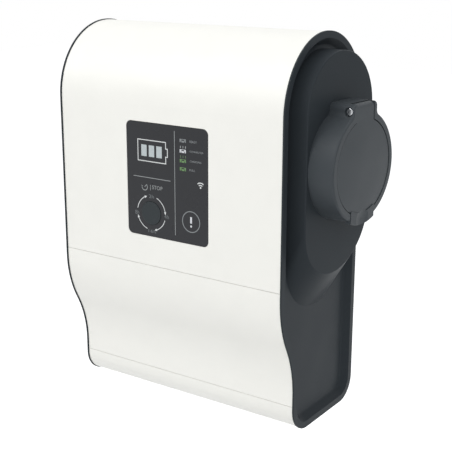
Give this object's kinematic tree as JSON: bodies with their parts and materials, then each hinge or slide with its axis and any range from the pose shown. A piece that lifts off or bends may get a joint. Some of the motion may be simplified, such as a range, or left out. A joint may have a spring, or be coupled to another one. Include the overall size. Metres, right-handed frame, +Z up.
{
  "type": "EV charging wallbox",
  "caption": "White electric vehicle charging wallbox with dark side covers, a control panel and a lidded socket.",
  "frame": {"origin": "centre of the wall fixing pattern, on the wall plane", "axes": "+Z up, +Y into the wall, -Y the front, +X the side with the socket"},
  "size_m": [0.3069, 0.1433, 0.3892],
  "materials": {
    "white_shell": "satin white moulding",
    "dark_plastic": "fine textured anthracite moulding",
    "socket_plastic": "satin anthracite moulding",
    "panel_black": "smooth dark front plate",
    "frame_plastic": "grey moulding",
    "light_plastic": "milky light guide",
    "circuit_board": "solder resist",
    "steel": "zinc plated",
    "silver_contact": "silver plated",
    "brass": "bare brass",
    "soft_rubber": "black elastomer",
    "module_grey": "light grey housing",
    "winding": "taped winding",
    "can_aluminium": "drawn can"
  },
  "bodies": {
    "base": {"frame": "frame_plastic", "upper_cover": "white_shell", "lower_cover": "white_shell", "bottom_cover": "white_shell", "left_side_cover": "dark_plastic", "right_side_cover": "dark_plastic", "left_gasket": "soft_rubber", "right_gasket": "soft_rubber", "left_cover_screws": "steel", "right_cover_screws": "steel", "bottom_screws": "steel", "panel_lens": "panel_black", "panel_carrier": "frame_plastic", "carrier_screws": "steel", "battery_light_guides": "light_plastic", "status_light_guides": "light_plastic", "fault_light_guides": "light_plastic", "control_board": "circuit_board", "button_switch": "dark_plastic", "socket_collar": "socket_plastic", "hinge_pin": "steel", "lid_spring": "steel", "socket_insert": "dark_plastic", "clamp_ring": "dark_plastic", "contact_base": "dark_plastic", "contact_carrier": "dark_plastic", "contact_sleeves": "silver_contact", "contact_cap": "dark_plastic", "socket_screws": "steel", "lock_housing": "frame_plastic", "mounting_rail": "steel", "contactor": "module_grey", "residual_current_breaker": "module_grey", "energy_meter": "module_grey", "power_board": "circuit_board", "transformer": "winding", "relays": "panel_black", "capacitors": "can_aluminium", "board_plug": "dark_plastic", "ribbon_cable": "frame_plastic", "socket_loom": "soft_rubber", "terminal_block": "frame_plastic", "earth_bar": "brass", "earth_screws": "steel", "gland_body": "dark_plastic", "gland_lock_nut": "dark_plastic", "gland_cap": "dark_plastic", "gland_seal": "soft_rubber", "blanking_plug": "dark_plastic", "plug_lock_nut": "dark_plastic"},
    "lid": {"socket_lid": "socket_plastic", "lid_seal": "soft_rubber"},
    "button": {"timer_button": "panel_black", "switch_plunger": "dark_plastic"},
    "bolt": {"lock_pin": "steel"}
  },
  "joints": [
    {"name": "lid_hinge", "type": "hinge", "parent": "base", "child": "lid", "pos_m": [0.16694, -0.0732, 0.12275], "axis": [-0.0785, -0.9969, 0], "range_deg": [0, 105], "stiffness_Nm_per_rad": 0.04, "springref_deg": -34.38},
    {"name": "timer_button_press", "type": "slide", "parent": "base", "child": "button", "axis": [0, 1, 0], "range_m": [0, 0.001], "stiffness_N_per_m": 300, "springref_m": -0.002},
    {"name": "lock_pin_slide", "type": "slide", "parent": "base", "child": "bolt", "axis": [0, 0, -1], "range_m": [0, 0.007]}
  ]
}
